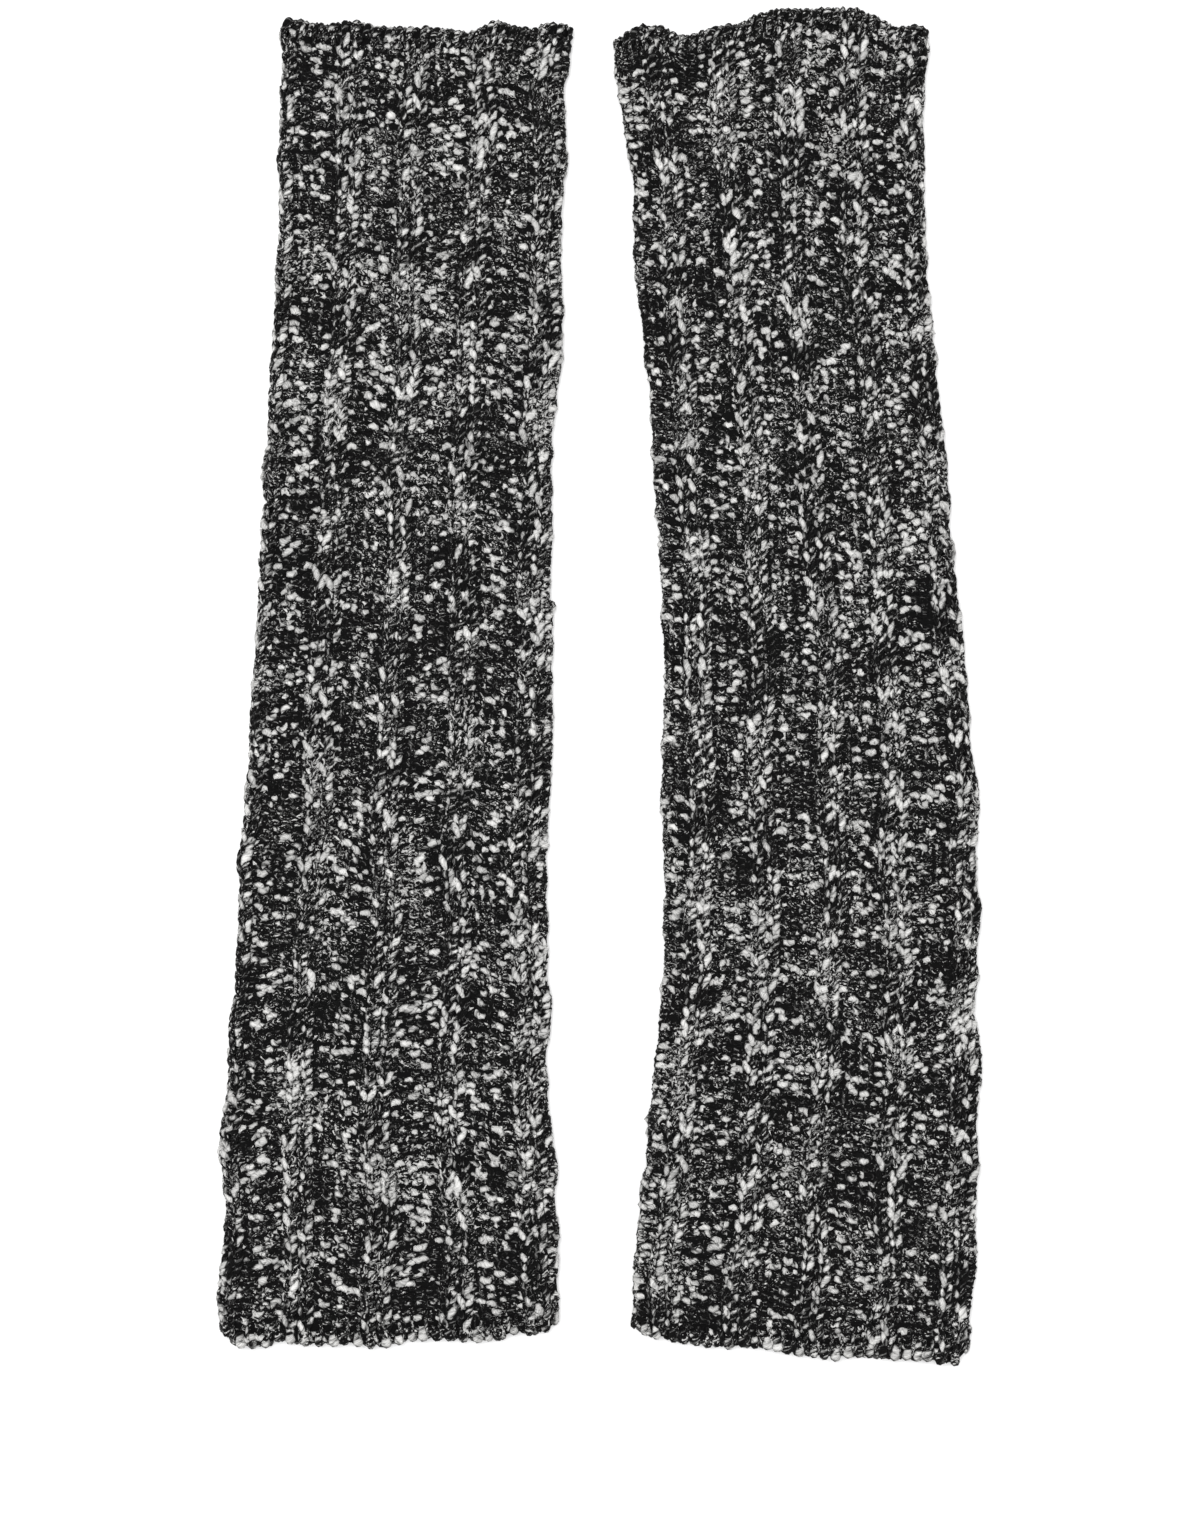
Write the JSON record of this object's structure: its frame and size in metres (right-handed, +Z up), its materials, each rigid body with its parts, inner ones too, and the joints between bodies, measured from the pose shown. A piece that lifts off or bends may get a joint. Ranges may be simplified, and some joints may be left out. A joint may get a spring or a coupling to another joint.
{
  "type": "pair of knitted arm warmers",
  "caption": "Long ribbed arm warmers in a black and off-white slub marl, each an open-ended knitted tube, laid flat side by side.",
  "frame": {"origin": "middle of the pair's base, on the surface that they lie on", "axes": "+X to the right across the pair, +Y along the warmers towards the wrist ends, +Z up, out of the surface"},
  "size_m": [0.291, 0.5156, 0.0111],
  "materials": {
    "marl_rib": "matt thick-and-thin woollen marl, charcoal black twisted with off-white slubs, knitted in a chunky rib",
    "marl_edge": "the same marl in a firm row of upright edging loops"
  },
  "bodies": {
    "root": {"left_tube": "marl_rib", "left_wrist_edge": "marl_edge", "left_arm_edge": "marl_edge", "right_tube": "marl_rib", "right_wrist_edge": "marl_edge", "right_arm_edge": "marl_edge"}
  },
  "joints": []
}
